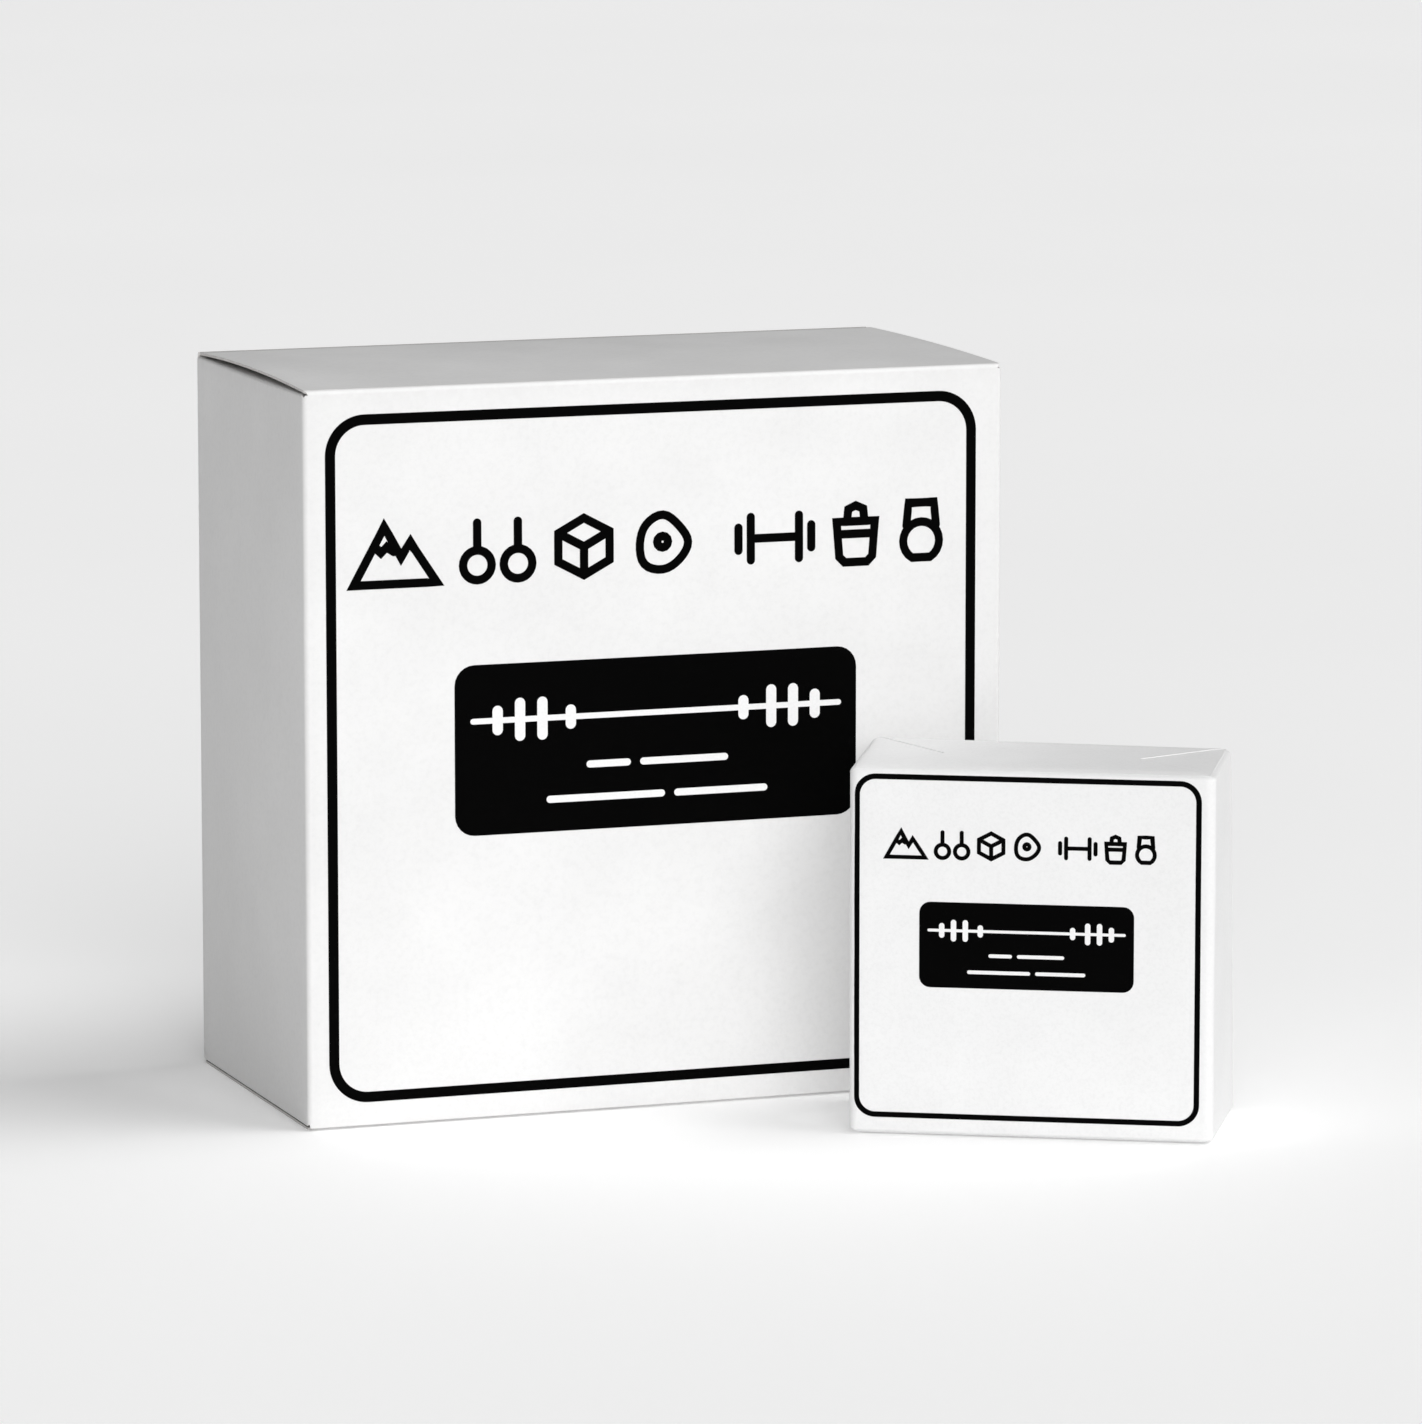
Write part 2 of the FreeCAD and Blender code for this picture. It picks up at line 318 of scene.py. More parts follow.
CHALK_LOOK = {
    "tone": 0.88, "spread": 0.02, "warmth": 0.0, "blotch": 160, "grain": 2600,
    "speck": 0.08, "bump": 0.08, "rough": 0.93, "wear": 0.0,
}
BOARD_MATERIALS = [
    fibrous("board_coated_face", COATED),
    fibrous("board_grey_back", GREY_BACK),
    fibrous("board_cut_edge", CUT_EDGE),
]
WRAPPER_PAPER = fibrous("wrapper_paper", PAPER_LOOK)
CHALK = fibrous("pressed_chalk", CHALK_LOOK)
BLACK_INK = ink("black_ink", 0.0012, 0.006, 0.5, 0.015)
WHITE_PRINT = ink("white_print", 0.84, 0.7, 0.6, 0.3)
PRINT_MATERIALS = [BLACK_INK, WHITE_PRINT]


# ---------------------------------------------------------------- mesh helpers

def add_sheet(mesh, outer, inner, slots=(0, 1, 2), loop=False):
    """Add a closed thin sheet: a grid of outer points, one of inner points, and the rim."""
    rows, columns = len(outer), len(outer[0])
    tops = [[mesh.verts.new(point) for point in row] for row in outer]
    bottoms = [[mesh.verts.new(point) for point in row] for row in inner]
    last = rows if loop else rows - 1
    for row in range(last):
        following = (row + 1) % rows
        for column in range(columns - 1):
            ahead = column + 1
            square = [(row, column), (row, ahead), (following, ahead), (following, column)]
            for grid, slot in ((tops, slots[0]), (bottoms, slots[1])):
                mesh.faces.new([grid[r][c] for r, c in square]).material_index = slot
    rims = [[(row % rows, side) for row in range(last + 1)] for side in (0, columns - 1)]
    if not loop:
        rims += [[(side, column) for column in range(columns)] for side in (0, rows - 1)]
    for rim in rims:
        for (r0, c0), (r1, c1) in zip(rim, rim[1:]):
            edge = [tops[r0][c0], tops[r1][c1], bottoms[r1][c1], bottoms[r0][c0]]
            mesh.faces.new(edge).material_index = slots[2]


def mark_edges(mesh):
    """Give each point an edge value: 0 on a flat face, up to 1 on a fold or a cut edge."""
    layer = mesh.verts.layers.float.new("edge")
    for vertex in mesh.verts:
        normals = [face.normal for face in vertex.link_faces]
        turn = max(first.angle(second, 0) for first in normals for second in normals)
        vertex[layer] = min(1.0, turn / FULL_EDGE)


def make_piece(name, mesh, materials, sharp=35):
    """Turn a bmesh into an object with tidy normals and no doubled points."""
    bmesh.ops.remove_doubles(mesh, verts=mesh.verts, dist=SAME_POINT)
    bmesh.ops.recalc_face_normals(mesh, faces=mesh.faces)
    mesh.normal_update()
    mark_edges(mesh)
    data = bpy.data.meshes.new(name)
    mesh.to_mesh(data)
    mesh.free()
    for material in materials:
        data.materials.append(material)
    data.shade_smooth()
    data.set_sharp_from_angle(angle=math.radians(sharp))
    piece = bpy.data.objects.new(name, data)
    bpy.context.scene.collection.objects.link(piece)
    return piece


def spread(low, high, step):
    """Even places from low to high, about a step apart."""
    count = max(1, round(abs(high - low) / step))
    return [low + (high - low) * index / count for index in range(count + 1)]


def arc_points(centre, radius, start, end, steps):
    """Points round an arc with their outward directions. Angles are in degrees."""
    found = []
    for index in range(steps + 1):
        angle = math.radians(start + (end - start) * index / steps)
        out = (math.cos(angle), math.sin(angle))
        found.append((centre[0] + radius * out[0], centre[1] + radius * out[1], *out))
    return found


def smooth(value):
    """Ease a share from 0 to 1."""
    value = min(max(value, 0.0), 1.0)
    return value * value * (3 - 2 * value)


def arch(share):
    """A shallow arch: 0 at both ends and 1 in the middle."""
    share = min(max(share, 0.0), 1.0)
    return 4 * share * (1 - share)


# ---------------------------------------------------------------- the carton's sleeve

# Each wall's board runs between its folds or its raw edge: its lowest and highest points.
SIDE_HIGH = DUST_TOP - DUST_FOLD
SIDE_SPAN = (TOP - SIDE_HIGH, SIDE_HIGH)
FRONT_SPAN = (FRONT_RISE, TOP - LID_FOLD)
BACK_SPAN = (LID_FOLD, TOP)


def wall_bow(share, height, most=WALL_BOW):
    """How far a wall stands out from flat, by its share along and its height."""
    return most * math.sin(math.pi * share) * math.sin(math.pi * height / TOP)


def straight(start, end, out, span):
    """Columns of a flat wall: place, outward direction, height span and share along."""
    places = spread(0.0, 1.0, BOARD_STEP / math.dist(start, end))
    return [
        (start[0] + (end[0] - start[0]) * s, start[1] + (end[1] - start[1]) * s, *out, span, s)
        for s in places
    ]


def corner(centre, radius, start, first_span, second_span):
    """Columns round a vertical fold, whose two halves have their own walls' heights."""
    points = arc_points(centre, radius, start, start - 90, CORNER_STEPS)
    middle = CORNER_STEPS / 2
    return [(*p, first_span if i < middle else second_span, 0.0) for i, p in enumerate(points)]


def sleeve_columns():
    """The sleeve seen from above, from the right wall's raw edge round to the glue flap."""
    x, y, r = HALF_WIDTH, HALF_DEPTH, CORNER_FOLD
    flap_x, flap_y = x - BOARD, y - GLUE_FOLD
    columns = straight((x, y - RIGHT_EDGE_GAP), (x, -y + r), (1, 0), SIDE_SPAN)
    columns += corner((x - r, -y + r), r, 0, SIDE_SPAN, FRONT_SPAN)
    columns += straight((x - r, -y), (-x + r, -y), (0, -1), FRONT_SPAN)
    columns += corner((-x + r, -y + r), r, -90, FRONT_SPAN, SIDE_SPAN)
    columns += straight((-x, -y + r), (-x, y - r), (-1, 0), SIDE_SPAN)
    columns += corner((-x + r, y - r), r, 180, SIDE_SPAN, BACK_SPAN)
    columns += straight((-x + r, y), (flap_x - GLUE_FOLD, y), (0, 1), BACK_SPAN)
    low, high = GLUE_LOW.z, GLUE_HIGH.z
    columns += corner((flap_x - GLUE_FOLD, flap_y), GLUE_FOLD, 90, BACK_SPAN, (low, high))
    for share in spread(0.0, 1.0, 0.2)[1:]:
        narrowed = (low + GLUE_TAPER * share, high - GLUE_TAPER * share)
        along = flap_y + (GLUE_LOW.y - flap_y) * share
        columns.append((flap_x, along, 1, 0, narrowed, (y - along) / (2 * y)))
    return columns


def make_sleeve():
    """The carton's four walls and its glue flap, folded from one strip of board."""
    outer, inner = [], []
    for x, y, out_x, out_y, (low, high), share in sleeve_columns():
        most = SIDE_BOW if abs(out_x) > 0.99 else WALL_BOW
        outside, inside = [], []
        for z in spread(low, high, BOARD_STEP):
            bow = wall_bow(share, z, most)
            outside.append(Vector((x + out_x * bow, y + out_y * bow, z)))
            step = bow - BOARD
            inside.append(Vector((x + out_x * step, y + out_y * step, z)))
        outer.append(outside)
        inner.append(inside)
    count = max(len(row) for row in outer)
    outer = [resampled(row, count) for row in outer]
    inner = [resampled(row, count) for row in inner]
    mesh = bmesh.new()
    add_sheet(mesh, outer, inner)
    sleeve = make_piece("carton_sleeve", mesh, BOARD_MATERIALS)
    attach(sleeve, "carton")
    walls = ("front_panel", "back_panel", "left_panel", "right_panel", "glue_flap")
    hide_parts(*walls)


def resampled(points, count):
    """The same line of points with another number of them."""
    last = len(points) - 1
    found = []
    for index in range(count):
        place = index * last / (count - 1)
        before = min(int(place), last - 1)
        found.append(points[before].lerp(points[before + 1], place - before))
    return found


# ---------------------------------------------------------------- the closures

def rounded_end(distance, radius):
    """How much a flap's half width shrinks this far from its rounded free end."""
    if distance >= radius:
        return 0.0
    return radius - math.sqrt(max(radius**2 - (radius - distance) ** 2, 0.0))


def end_steps(length, radius, step):
    """Distances along a flap, closer together round its free corners."""
    places = spread(0.0, length - radius, step)
    turns = [math.sin(math.radians(angle)) for angle in (15, 30, 45, 60, 75, 90)]
    return places + [length - radius + radius * turn for turn in turns]


def board_piece(name, outer_rows, inner_rows, turned):
    """One piece of board, turned over for the base."""
    mesh = bmesh.new()
    add_sheet(mesh, outer_rows, inner_rows)
    piece = make_piece(name, mesh, BOARD_MATERIALS)
    piece.data.transform(turned)
    if turned.is_negative:
        piece.data.flip_normals()
    return piece


def across_rows(section, half_widths, bow=0.0):
    """Rows of points across the carton, one for each point of a section in Y and Z.

    The panel bows up between its creases, most along its left edge.
    """
    outer, inner = [], []
    count = round(2 * half_widths[0] / BOARD_STEP)
    for (y, z, out_y, out_z), half in zip(section, half_widths):
        lift = bow * arch((y + HALF_DEPTH) / (2 * HALF_DEPTH)) if out_z > 0.99 else 0.0
        row_out, row_in = [], []
        for index in range(count + 1):
            x = half * (2 * index / count - 1)
            height = z + lift * (1 - BOW_FADE * index / count)
            row_out.append(Vector((x, y, height)))
            row_in.append(Vector((x, y - out_y * BOARD, height - out_z * BOARD)))
        outer.append(row_out)
        inner.append(row_in)
    return outer, inner


def make_panel_and_tuck(name, body, turned, bow):
    """The lid or base panel with its tuck flap, one piece of board with a fold between."""
    lean = math.degrees(TUCK_LEAN)
    rear = LID_HIGH.y
    reach = TUCK_FOLD / math.tan(math.radians(90 - lean) / 2)
    front = -HALF_DEPTH + LID_FOLD
    section = [(y, TOP, 0.0, 1.0) for y in spread(front, rear - reach, BOARD_STEP)[:-1]]
    halves = [LID_HIGH.x] * len(section)
    fold = arc_points((rear - reach, TOP - TUCK_FOLD), TUCK_FOLD, 90, -lean, CORNER_STEPS)
    section += fold
    halves += [
        LID_HIGH.x + (TUCK_HIGH.x - LID_HIGH.x) * index / (len(fold) - 1)
        for index in range(len(fold))
    ]
    out_y, out_z = math.cos(TUCK_LEAN), -math.sin(TUCK_LEAN)
    length = TUCK_LENGTH - reach
    for along in end_steps(length, TUCK_CORNER, BOARD_STEP)[1:]:
        y = fold[-1][0] - math.sin(TUCK_LEAN) * along
        z = fold[-1][1] - math.cos(TUCK_LEAN) * along
        section.append((y, z, out_y, out_z))
        halves.append(TUCK_HIGH.x - rounded_end(length - along, TUCK_CORNER))
    outer, inner = across_rows(section, halves, bow)
    panel = board_piece(f"{name}_board", outer, inner, turned)
    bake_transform(panel)
    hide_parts(f"{name}_panel", f"{name}_tuck_flap")


def make_hinge_crease(name, body, turned):
    """The fold that joins the lid to the front wall, or the base to the back wall."""
    centre = (-HALF_DEPTH + LID_FOLD, TOP - LID_FOLD)
    section = arc_points(centre, LID_FOLD, 180, 90, CREASE_STEPS)
    wall_half = HALF_WIDTH - CORNER_FOLD
    widening = (LID_HIGH.x - wall_half) / CREASE_STEPS
    halves = [wall_half + widening * index for index in range(CREASE_STEPS + 1)]
    outer, inner = across_rows(section, halves)
    crease = board_piece(f"{name}_crease", outer, inner, turned)
    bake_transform(crease)


def make_dust_flap(name, turned):
    """A dust flap with the fold that joins it to its side wall, made on the left side."""
    wall_x = -HALF_WIDTH
    tip = DUST_HIGH.x
    flat_start = wall_x + DUST_FOLD
    section = arc_points((flat_start, DUST_TOP - DUST_FOLD), DUST_FOLD, 180, 90, CREASE_STEPS)
    places = end_steps(tip - flat_start, DUST_CORNER, BOARD_STEP)[1:]
    section += [(flat_start + along, DUST_TOP, 0.0, 1.0) for along in places]
    outer, inner = [], []
    rows = round((DUST_HIGH.y - DUST_LOW.y) / BOARD_STEP)
    for x, z, out_x, out_z in section:
        along = x - wall_x
        open_share = smooth((along - 0.4 * DUST_FOLD) / DUST_FOLD)
        inset = rounded_end(tip - x, DUST_CORNER)
        front_flap = -HALF_DEPTH + DUST_HINGE_GAP + DUST_SLOPE * along + inset
        front_wall = -HALF_DEPTH + CORNER_FOLD
        front = front_wall + (front_flap - front_wall) * open_share
        rear_wall = HALF_DEPTH - CORNER_FOLD
        rear = rear_wall + (DUST_HIGH.y - inset - rear_wall) * open_share
        ys = [front + (rear - front) * index / rows for index in range(rows + 1)]
        outer.append([Vector((x, y, z)) for y in ys])
        inner.append([Vector((x - out_x * BOARD, y, z - out_z * BOARD)) for y in ys])
    flap = board_piece(f"{name}_board", outer, inner, turned)
    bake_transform(flap)
    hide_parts(name)


def make_closures():
    """The lid, and the base, which is the same closure turned over front to back."""
    turned_over = Matrix.Translation((0, 0, TOP)) @ Matrix.Rotation(math.pi, 4, "X")
    mirrored = Matrix.Scale(-1, 4, (1, 0, 0))
    for name, turned, bow in (("lid", Matrix.Identity(4), LID_BOW), ("base", turned_over, 0.0)):
        make_panel_and_tuck(name, name, turned, bow)
        make_hinge_crease(name, name, turned)
        make_dust_flap(f"{name}_dust_flap_left", turned)
        right = turned @ mirrored
        make_dust_flap(f"{name}_dust_flap_right", right)


# ---------------------------------------------------------------- wrapped blocks

def edge_steps(half, radius, step):
    """Places along one side of a rounded box: fine round its edges, even between."""
    flat = half - radius
    turns = [flat + radius * math.tan(math.radians(angle)) for angle in (11, 22, 33, 45)]
    return [-t for t in reversed(turns)] + spread(-flat, flat, step) + turns


def wrinkle(point, seed):
    """How far the paper stands off a flat face: soft waves, fine ripples and a few creases."""
    scale, height = WAVES
    lift = height * noise.noise(point * scale + Vector((seed, 0, 0)))
    scale, height = RIPPLES
    lift += height * noise.noise(point * scale + Vector((0, seed, 0)))
    scale, height = CREASES
    ridge = 1 - abs(noise.noise(point * scale + Vector((0, 0, seed))))
    return lift + height * max(0.0, ridge - CREASE_START) / (1 - CREASE_START)


class Block:
    """A wrapped block in its own frame: centred in X and Y, standing on Z = 0."""

    def __init__(self, node, seed):
        low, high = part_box(node)
        self.node = node
        self.place = node.removeprefix("wrapper_")
        self.loose = self.place == "loose"
        self.seed = seed
        self.height = high.z - low.z
        self.half = Vector((BLOCK_WIDTH / 2, BLOCK_DEPTH / 2, self.height / 2))
        middle = (low + high) / 2
        spot = Matrix.Translation((middle.x, middle.y, low.z))
        self.matrix = spot @ Matrix.Rotation(LOOSE_TURN if self.loose else 0.0, 4, "Z")

    def lean(self, point):
        """How far the loose block's right rear edge leans: out low down, and in at its top."""
        if not self.loose:
            return Vector((0, 0, 0))
        near_right = smooth((point.x - self.half.x + LEAN_REACH) / LEAN_REACH)
        depth = 0.5 + point.y / (2 * self.half.y)
        low = LEAN_UPRIGHT - point.z / self.height
        return Vector((LEAN * near_right * depth * low, 0, 0))

    def rise(self, x, y):
        """How far the loose block's top stands up: most at its left rear corner."""
        if not self.loose:
            return 0.0
        rear = 0.5 + y / (2 * self.half.y)
        left = 0.6 - 0.4 * x / self.half.x
        return TOP_RISE * left * rear

    def skin(self, point):
        """A point of the rounded box moved onto the paper, and its outward direction."""
        centre = Vector((0, 0, self.height / 2))
        local = point - centre
        reach = Vector((PAPER_EDGE, PAPER_EDGE, PAPER_RIM))
        core = self.half - reach - Vector((0, 0, END_STACK))
        inner = Vector([min(max(v, -c), c) for v, c in zip(local, core)])
        out = Vector([v / r for v, r in zip(local - inner, reach)]).normalized()
        surface = centre + inner + out * reach
        normal = Vector([v / r for v, r in zip(out, reach)]).normalized()
        surface += self.lean(surface) + normal * wrinkle(surface, self.seed)
        surface.z += self.rise(surface.x, surface.y) * smooth(surface.z / self.height)
        return surface, normal

    def front(self, x, z, lift):
        """A point on the front face, lifted off the paper."""
        surface, out = self.skin(Vector((x - self.half.x, -self.half.y, z)))
        return surface + out * lift


def add_body(mesh, block):
    """The paper round the block's six faces."""
    half = block.half
    centre = Vector((0, 0, half.z))
    steps = [edge_steps(h, PAPER_EDGE, PAPER_STEP) for h in half.xy]
    steps.append(edge_steps(half.z - END_STACK, PAPER_RIM, PAPER_STEP))
    found = {}

    def vertex(local):
        """The point of the skin at a place, shared by the faces that meet there."""
        key = tuple(round(v / SAME_POINT) for v in local)
        if key not in found:
            found[key] = mesh.verts.new(block.skin(centre + local)[0])
        return found[key]

    for axis in range(3):
        first, second = [a for a in range(3) if a != axis]
        for side in (-1, 1):
            reach = side * max(steps[axis])
            for a0, a1 in zip(steps[first], steps[first][1:]):
                for b0, b1 in zip(steps[second], steps[second][1:]):
                    corners = []
                    for a, b in ((a0, b0), (a1, b0), (a1, b1), (a0, b1)):
                        local = Vector((0, 0, 0))
                        local[axis], local[first], local[second] = reach, a, b
                        corners.append(vertex(local))
                    mesh.faces.new(corners)


def add_end_flap(mesh, block, top, start, along, across, size, widths, spring):
    """One folded flap of paper on an end of the block.

    It starts at a place on the end and runs along one direction. Its size is its length
    and the height that it lies at. Its half width across goes from its crease's to its
    free edge's, and the free edge springs up.
    """
    length, layer = size
    scale, height = FLAP_WAVES
    outer, inner = [], []
    sign = 1 if top else -1
    face = block.height - END_STACK if top else END_STACK
    shift = Vector((block.seed * 3.1, 7.7 if top else 2.2, 0))
    for distance in end_steps(length, FLAP_CORNER, PAPER_STEP):
        share = distance / length
        half = widths[0] + (widths[1] - widths[0]) * share
        half -= rounded_end(length - distance, FLAP_CORNER)
        rise = layer * smooth(distance / FLAP_RAMP) + spring * share**3
        row_out, row_in = [], []
        count = max(4, round(2 * widths[0] / PAPER_STEP))
        for index in range(count + 1):
            sideways = half * (2 * index / count - 1)
            flat = start + along * distance + across * sideways
            wave = height * noise.noise(flat * scale + shift) * smooth(share * 4)
            z = face + sign * (rise + wave)
            if top:
                z += block.rise(flat.x, flat.y)
            row_out.append(Vector((flat.x, flat.y, z)))
            row_in.append(Vector((flat.x, flat.y, z - sign * PAPER)))
        outer.append(row_out)
        inner.append(row_in)
    add_sheet(mesh, outer, inner, (0, 0, 0))


def add_ends(mesh, block):
    """Each end closed like a parcel: two side gussets, then an under and an over flap."""
    x_way, y_way = Vector((1, 0, 0)), Vector((0, 1, 0))
    half_x, half_y = block.half.x - FLAP_INSET, block.half.y - FLAP_INSET
    for top in (True, False):
        spring = LOOSE_TOP_SPRING if block.loose and top else FLAP_SPRING
        for side in (-1, 1):
            start, along = x_way * side * half_x, -side * x_way
            widths = (half_y, block.half.y - GUSSET_TIP_INSET)
            add_end_flap(mesh, block, top, start, along, y_way, GUSSET, widths, 0)
        for side, size in ((1, UNDER_FLAP), (-1, OVER_FLAP)):
            start, along = y_way * side * half_y, -side * y_way
            widths = (half_x, half_x - FLAP_TAPER * size[0])
            add_end_flap(mesh, block, top, start, along, x_way, size, widths, spring)


def add_back_seam(mesh, block):
    """The edge of the sheet, lapped over itself down the block's back."""
    outer, inner = [], []
    low, high = SEAM_END + END_STACK, block.height - END_STACK - SEAM_END
    left = -block.half.x + SEAM_MARGIN
    for x in spread(left, SEAM_EDGE, PAPER_STEP):
        share = (x - left) / (SEAM_EDGE - left)
        row_out, row_in = [], []
        for z in spread(low, high, PAPER_STEP):
            surface, out = block.skin(Vector((x, block.half.y, z)))
            rise = SEAM_RISE * smooth(share * 12) + SEAM_SPRING * share**4
            row_out.append(surface + out * rise)
            row_in.append(surface + out * (rise - PAPER))
        outer.append(row_out)
        inner.append(row_in)
    add_sheet(mesh, outer, inner, (0, 0, 0))


def make_wrapper(block, body):
    """One block's paper wrapper."""
    mesh = bmesh.new()
    add_body(mesh, block)
    add_ends(mesh, block)
    add_back_seam(mesh, block)
    wrapper = make_piece(f"paper_{block.place}", mesh, [WRAPPER_PAPER], sharp=60)
    wrapper.matrix_world = block.matrix
    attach(wrapper, body)
    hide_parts(block.node)


# ---------------------------------------------------------------- printing

def ribbon(mesh, place, points, width, lift, slot=0, closed=False):
    """An inked line of even width through 2-D points, with round ends."""
    half = width / 2
    path = thickened(points, min(LINE_STEP, 2 * width), closed)
    lengths = [0.0]
    for before, after in zip(path, path[1:]):
        lengths.append(lengths[-1] + math.dist(before, after))
    total = lengths[-1]
    if not closed:
        path, lengths = round_ends(path, lengths, half)
    outer, inner = [], []
    for index, (u, v) in enumerate(path):
        if closed:
            before, after = path[index - 1], path[(index + 1) % len(path)]
        else:
            before, after = path[max(index - 1, 0)], path[min(index + 1, len(path) - 1)]
        run = (after[0] - before[0], after[1] - before[1])
        size = math.hypot(*run) or 1.0
        side = (-run[1] / size, run[0] / size)
        reach = half * miter(before, (u, v), after)
        if not closed:
            from_end = min(lengths[index], total + 2 * half - lengths[index])
            reach -= rounded_end(from_end, half)
        row_out, row_in = [], []
        for offset in (-reach, 0.0, reach):
            spot = (u + side[0] * offset, v + side[1] * offset)
            row_out.append(place(*spot, lift))
            row_in.append(place(*spot, 0.0))
        outer.append(row_out)
        inner.append(row_in)
    add_sheet(mesh, outer, inner, (slot, slot, slot), loop=closed)


def miter(before, here, after):
    """How much wider a line's cut is where it turns at a corner."""
    first = Vector((here[0] - before[0], here[1] - before[1]))
    second = Vector((after[0] - here[0], after[1] - here[1]))
    if first.length < 1e-9 or second.length < 1e-9:
        return 1.0
    half_turn = first.angle(second) / 2
    return 1 / max(math.cos(half_turn), 0.5)


def thickened(points, step, closed):
    """A path with points added along its long runs."""
    ends = points + points[:1] if closed else points
    path = []
    for before, after in zip(ends, ends[1:]):
        count = max(1, round(math.dist(before, after) / step))
        run = (after[0] - before[0], after[1] - before[1])
        shares = [index / count for index in range(count)]
        path += [(before[0] + run[0] * share, before[1] + run[1] * share) for share in shares]
    return path if closed else path + [points[-1]]


def round_ends(path, lengths, half):
    """A path made longer by its round ends, with points close together in them."""
    turns = [1 - math.cos(math.radians(angle)) for angle in (0, 15, 30, 45, 60, 75)]

    def beyond(end, inside):
        """The direction out of one end of the path."""
        size = math.dist(end, inside)
        return ((end[0] - inside[0]) / size, (end[1] - inside[1]) / size)

    first, last = beyond(path[0], path[1]), beyond(path[-1], path[-2])
    head = [tuple(p + d * half * (1 - t) for p, d in zip(path[0], first)) for t in turns]
    tail = [tuple(p + d * half * (1 - t) for p, d in zip(path[-1], last)) for t in turns]
    head_lengths = [half * t for t in turns]
    total = lengths[-1]
    tail_lengths = [total + 2 * half - half * t for t in turns]
    longer = head + path + tail[::-1]
    return longer, head_lengths + [half + s for s in lengths] + tail_lengths[::-1]


def rounded_rectangle(low, high, radius):
    """The corners of a rectangle, each taken round an arc."""
    (x0, y0), (x1, y1) = low, high
    points = []
    centres = (
        ((x1 - radius, y1 - radius), 0),
        ((x0 + radius, y1 - radius), 90),
        ((x0 + radius, y0 + radius), 180),
        ((x1 - radius, y0 + radius), 270),
    )
    for centre, start in centres:
        points += [p[:2] for p in arc_points(centre, radius, start, start + 90, 14)]
    return points


def solid_label(mesh, place, low, high, radius, lift):
    """A filled rectangle of ink with round corners."""
    (x0, y0), (x1, y1) = low, high
    rows = end_steps((y1 - y0) / 2, radius, LABEL_STEP)
    middle = (y0 + y1) / 2
    heights = [-row for row in reversed(rows[1:])] + rows
    count = round((x1 - x0) / LABEL_STEP)
    outer, inner = [], []
    for height in heights:
        inset = rounded_end((y1 - y0) / 2 - abs(height), radius)
        xs = [x0 + inset + (x1 - x0 - 2 * inset) * i / count for i in range(count + 1)]
        outer.append([place(x, middle + height, lift) for x in xs])
        inner.append([place(x, middle + height, 0.0) for x in xs])
    add_sheet(mesh, outer, inner, (0, 0, 0))


def circle(x, y, radius, start=0, sweep=360, steps=24):
    """Points round a circle, or round part of one."""
    points = arc_points((x, y), radius, start, start + sweep, steps)
    found = [p[:2] for p in points]
    return found[:-1] if sweep == 360 else found


def blob(x, y, reaches):
    """A smooth closed outline at these distances round a point."""
    turn = 2 * math.pi / len(reaches)
    corners = [
        Vector((x + reach * math.cos(i * turn), y + reach * math.sin(i * turn)))
        for i, reach in enumerate(reaches)
    ]
    found = []
    for i, here in enumerate(corners):
        before, after = corners[i - 1], corners[(i + 1) % len(corners)]
        for share in (0.0, 0.25, 0.5, 0.75):
            start = before.lerp(here, 0.5).lerp(here, share)
            end = here.lerp(after, 0.5 * share)
            found.append(tuple(start.lerp(end, share)))
    return found


# Small pictures in strokes, one unit high: width, then each stroke's points and if it closes.
PICTURES = {
    "peaks": (1.5, [
        ([(0.0, 0.0), (0.56, 1.0), (0.86, 0.46), (1.02, 0.72), (1.5, 0.0)], True),
        ([(0.38, 0.66), (0.5, 0.55), (0.6, 0.65), (0.73, 0.56)], False),
    ]),
    "rings": (1.26, [
        (circle(0.26, 0.26, 0.26), True),
        (circle(1.0, 0.26, 0.26), True),
        ([(0.26, 0.54), (0.26, 1.0)], False),
        ([(1.0, 0.54), (1.0, 1.0)], False),
    ]),
    "block": (0.94, [
        ([(0.0, 0.25), (0.47, 0.0), (0.94, 0.25), (0.94, 0.75), (0.47, 1.0), (0.0, 0.75)], True),
        ([(0.04, 0.73), (0.47, 0.5), (0.9, 0.73)], False),
        ([(0.47, 0.48), (0.47, 0.04)], False),
    ]),
    "hold": (1.05, [
        (blob(0.52, 0.5, (0.5, 0.42, 0.55, 0.5, 0.46, 0.56, 0.5, 0.44)), True),
        (circle(0.5, 0.52, 0.1, steps=12), True),
    ]),
    "dumbbell": (1.36, [
        ([(0.26, 0.5), (1.1, 0.5)], False),
        ([(0.23, 0.12), (0.23, 0.88)], False),
        ([(1.13, 0.12), (1.13, 0.88)], False),
        ([(0.0, 0.3), (0.0, 0.7)], False),
        ([(1.36, 0.3), (1.36, 0.7)], False),
    ]),
    "chalk_bag": (0.72, [
        ([(0.0, 0.72), (0.05, 0.1), (0.15, 0.0), (0.57, 0.0), (0.67, 0.1), (0.72, 0.72)], True),
        ([(0.2, 0.76), (0.22, 0.94), (0.36, 1.0), (0.5, 0.94), (0.52, 0.76)], False),
        ([(0.06, 0.5), (0.66, 0.5)], False),
    ]),
    "kettlebell": (0.8, [
        (circle(0.4, 0.32, 0.34, -60, 300, 20), True),
        ([(0.12, 0.6), (0.16, 1.0), (0.64, 1.0), (0.68, 0.6)], False),
    ]),
}
HEADING = [["peaks", "rings", "block", "hold"], ["dumbbell", "chalk_bag", "kettlebell"]]


